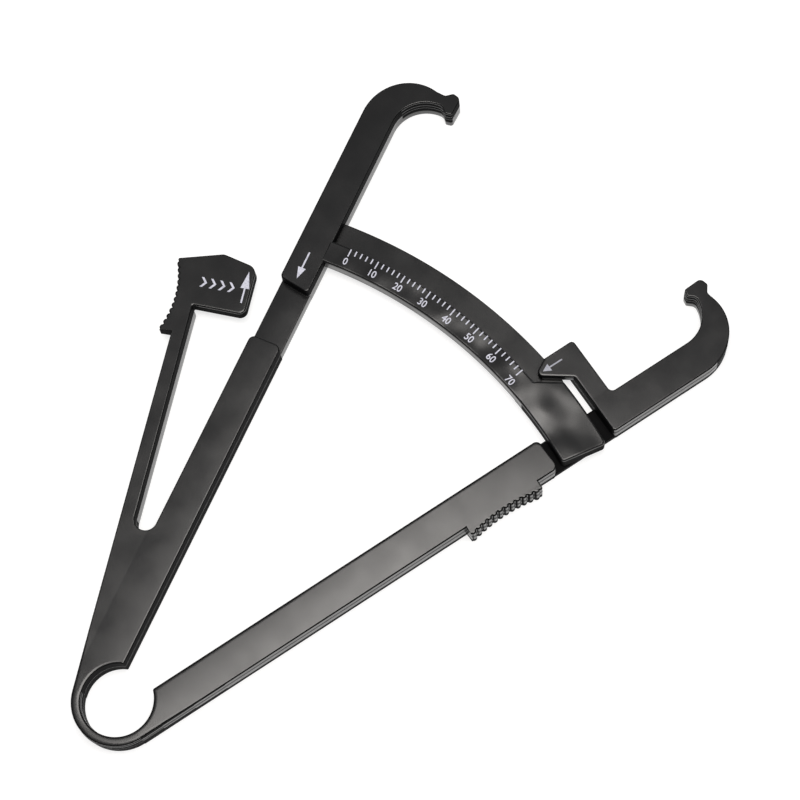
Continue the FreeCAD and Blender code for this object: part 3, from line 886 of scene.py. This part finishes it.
def pressLever():
    # the upper body is blade, head and thumb grip in one; the lower one is the blade's lower half
    inner, outer, headIn, headFoot = mould["bladeIn"], mould["bladeOut"], press["headIn"], press["headFoot"]
    grip, gripAt = ribs(lever, outer, thumbRow)
    start = [cut(lever(inner, press["flexEnd"])), run(lever(outer, press["flexEnd"]))]
    upper = np.vstack(start + [
        run(lever(outer, thumbRow["start"] - thumbRow["lead"])), grip,
        run(lever(*press["outCorner"]), radius=press["outRadius"]),
        run(lever(*press["peak"]), radius=press["peakRadius"]),
        run(lever(headIn, press["headTopIn"]), mould["freeEdge"], radius=press["topRadius"]),
        run(lever(headIn, headFoot), mould["freeEdge"], radius=press["footRadius"]),
        run(lever(inner, headFoot), radius=press["neckRadius"])])
    lower = np.vstack(start + [
        run(lever(outer, headFoot), radius=press["lowRadius"]),
        run(lever(inner, headFoot), radius=press["lowRadius"])])
    bodies = [shell(upper, press["headLow"], mould["thick"], None, 0, marked=gripAt),
              shell(lower, 0, press["headLow"], 0)]
    onHead = beyond(-lever(1, 0), press["plateGap"] - inner)
    fit(makeMesh("pressLever", bodies), "press_lever", ["press_blade", "press_head", "thumb_grip"],
        finish["lever"], valleys(lever, outer, thumbRow, either(onHead, headWalls, upperWall)))


ringPiece()
leftHandle()
leftNeck()
leftJaw()
hook("leftHook", left, mould["leftOut"], jaw["leftFace"], "left_arm", ["left_hook", "left_contact_tip"],
     finish["left"], either(looking(left(0, -1), least=0.4), hookWalls, upperWall))
scalePieces()
print("left arm and scale dressed")
rightHandle()
guideBridge()
rightJaw()
outerRule = either(looking(right(1, 0), least=0.97), rightWalls, bothWalls)
hook("rightHook", right, mould["rightOut"], jaw["rightFace"], "right_arm",
     ["right_hook", "right_contact_tip"], finish["right"],
     either(looking(right(0, -1), least=0.3), hookWalls, outerRule))
print("right arm dressed")
leverFlexure()
pressLever()
print("press lever dressed")

printed = {"scale_ticks": ink, "jaw_arrow": ink, "press_arrow": ink, "pointer_arrow": thinInk}
for name, look in printed.items():
    marks = frame["nodes"][name]
    marks.data.materials.clear()
    marks.data.materials.append(look)

numerals = {"radius": 117.55, "size": 2.55, "narrow": 0.9, "bold": 0.01, "first": -14.95, "last": 9.65,
            "low": 6.55, "deep": 0.1, "end": 70, "pitch": 10, "endDrop": 0.5}


def numeral(value):
    # built-in lettering, narrowed and thickened, turned to stand on its own radius of the scale
    name = "numeral%02d" % value
    curve = bpy.data.curves.new(name, "FONT")
    curve.body = str(value)
    curve.align_x = "CENTER"
    curve.align_y = "CENTER"
    curve.size = numerals["size"]
    curve.offset = numerals["bold"] * numerals["size"]
    curve.extrude = numerals["deep"] / 2
    curve.resolution_u = 6
    text = addObject(name, curve)
    mesh = bpy.data.meshes.new_from_object(text.evaluated_get(bpy.context.evaluated_depsgraph_get()))
    bpy.data.objects.remove(text)
    clock = numerals["first"] + (numerals["last"] - numerals["first"]) * value / numerals["end"]
    drop = numerals["endDrop"] if value == numerals["end"] else 0
    x, y = polar(numerals["radius"] - drop, clock)
    place = Matrix.Translation((x, y, numerals["low"] + numerals["deep"] / 2))
    place = place @ Matrix.Rotation(math.radians(-clock), 4, "Z")
    place = place @ Matrix.Diagonal((numerals["narrow"], 1, 1, 1))
    mesh.transform(Matrix.Scale(0.001, 4) @ place)
    fit(addObject(name, mesh), "left_arm", [], ink)


for value in range(0, numerals["end"] + 1, numerals["pitch"]):
    numeral(value)

chevrons = {"along": 102.6, "first": -1.6, "pitch": 2.3, "count": 4, "height": 2.5, "width": 0.62, "tip": 1.0,
            "deep": 0.03}


def chevronMarks():
    # plain marks on the head: each is a bent bar that points the way the lever is pressed
    bodies = []
    rise, thick, tip = chevrons["height"] / 2, chevrons["width"], chevrons["tip"]
    for number in range(chevrons["count"]):
        out = chevrons["first"] + chevrons["pitch"] * number
        outline = np.array([
            (out + tip, -rise), (out + tip + thick, -rise), (out + thick, 0),
            (out + tip + thick, rise), (out + tip, rise), (out, 0)])
        rows = run(lever(outline[:, 0], chevrons["along"] + outline[:, 1]), 0, 0)
        top = mould["thick"]
        bodies.append(shell(rows, top - chevrons["deep"], top + mould["press"], 0, 0, noLine))
    fit(makeMesh("headChevrons", bodies), "press_lever", [], ink)


chevronMarks()
print("print applied")

studio = {
    "camera": (0.13534, -0.01167, 0.49501), "turn": (18.895, 3.593, 40.710), "lens": 99.0,
    "world": 0.45, "floorGlow": 0.7, "floorTone": 0.4, "floorHalf": 1.5, "floorDrop": 0.00005,
    # the height of a direction, and how light the surroundings are there
    "sky": ((0.08, 1.0), (0.92, 0.45), (0.25, 0.06), (0.76, 0.06)),
    "key": {"place": (0.06, 0.09, 0.62), "size": (0.42, 0.30), "watts": 3.1,
            "color": (1.0, 0.965, 0.93)},
}


def camera():
    lens = bpy.data.cameras.new("camera")
    lens.lens = studio["lens"]
    lens.sensor_width = 36
    lens.clip_start = 0.01
    lens.clip_end = 20
    view = addObject("camera", lens)
    view.location = studio["camera"]
    view.rotation_euler = [math.radians(angle) for angle in studio["turn"]]
    bpy.context.scene.camera = view


def sight(tree):
    # 1 for rays of the camera, of a mirror and of glass, else 0
    path = addValue(tree, "ShaderNodeLightPath")
    first = addMath(tree, "MAXIMUM", (path, "Is Camera Ray"), (path, "Is Glossy Ray"))
    return addMath(tree, "MAXIMUM", (first, 0), (path, "Is Transmission Ray"))


def world():
    # white for what the camera sees. A mirror sees white low down, the studio's dark sides, and a dim roof
    surround = bpy.data.worlds.new("studio")
    surround.use_nodes = True
    bpy.context.scene.world = surround
    tree = surround.node_tree
    back = tree.nodes["Background"]
    strength = addRange(tree, sight(tree), 0, (0, 1), (studio["world"], 1.0))
    path = addValue(tree, "ShaderNodeLightPath")
    place = addValue(tree, "ShaderNodeTexCoord")
    height = addValue(tree, "ShaderNodeSeparateXYZ")
    wire(tree, place, height, "Generated", 0)
    sky = addRamp(tree, height, "Z", [(position, [level] * 3) for position, level in studio["sky"]])
    sky.color_ramp.interpolation = "EASE"
    dim = addValue(tree, "ShaderNodeMix", data_type="FLOAT")
    wire(tree, path, dim, "Is Glossy Ray", 0)
    wire(tree, strength, dim, 0, 2)
    wire(tree, sky, dim, 0, 3)
    wire(tree, dim, back, 0, "Strength")
    back.inputs["Color"].default_value = (1, 1, 1, 1)


def table():
    half, drop = studio["floorHalf"], -studio["floorDrop"]
    corners = [(x * half, y * half, drop) for x, y in ((-1, -1), (1, -1), (1, 1), (-1, 1))]
    mesh = bpy.data.meshes.new("floor")
    mesh.from_pydata(corners, [], [(0, 1, 2, 3)])
    floor = addObject("floor", mesh)
    paper, tree, shader = newMaterial("whiteTable")
    shader.inputs["Base Color"].default_value = [studio["floorTone"]] * 3 + [1]
    shader.inputs["Roughness"].default_value = 0.9
    shader.inputs["Specular IOR Level"].default_value = 0.1
    shader.inputs["Emission Strength"].default_value = studio["floorGlow"]
    wire(tree, sight(tree), shader, 0, "Emission Color")
    mesh.materials.append(paper)


def softbox(name, place, size, watts, color):
    lamp = bpy.data.lights.new(name, "AREA")
    lamp.shape = "RECTANGLE"
    lamp.size, lamp.size_y = size
    lamp.energy = watts
    lamp.color = color
    addObject(name, lamp).location = place


camera()
world()
table()
softbox("keyBox", **studio["key"])
bpy.context.scene.view_settings.view_transform = "Standard"

print("studio ready")
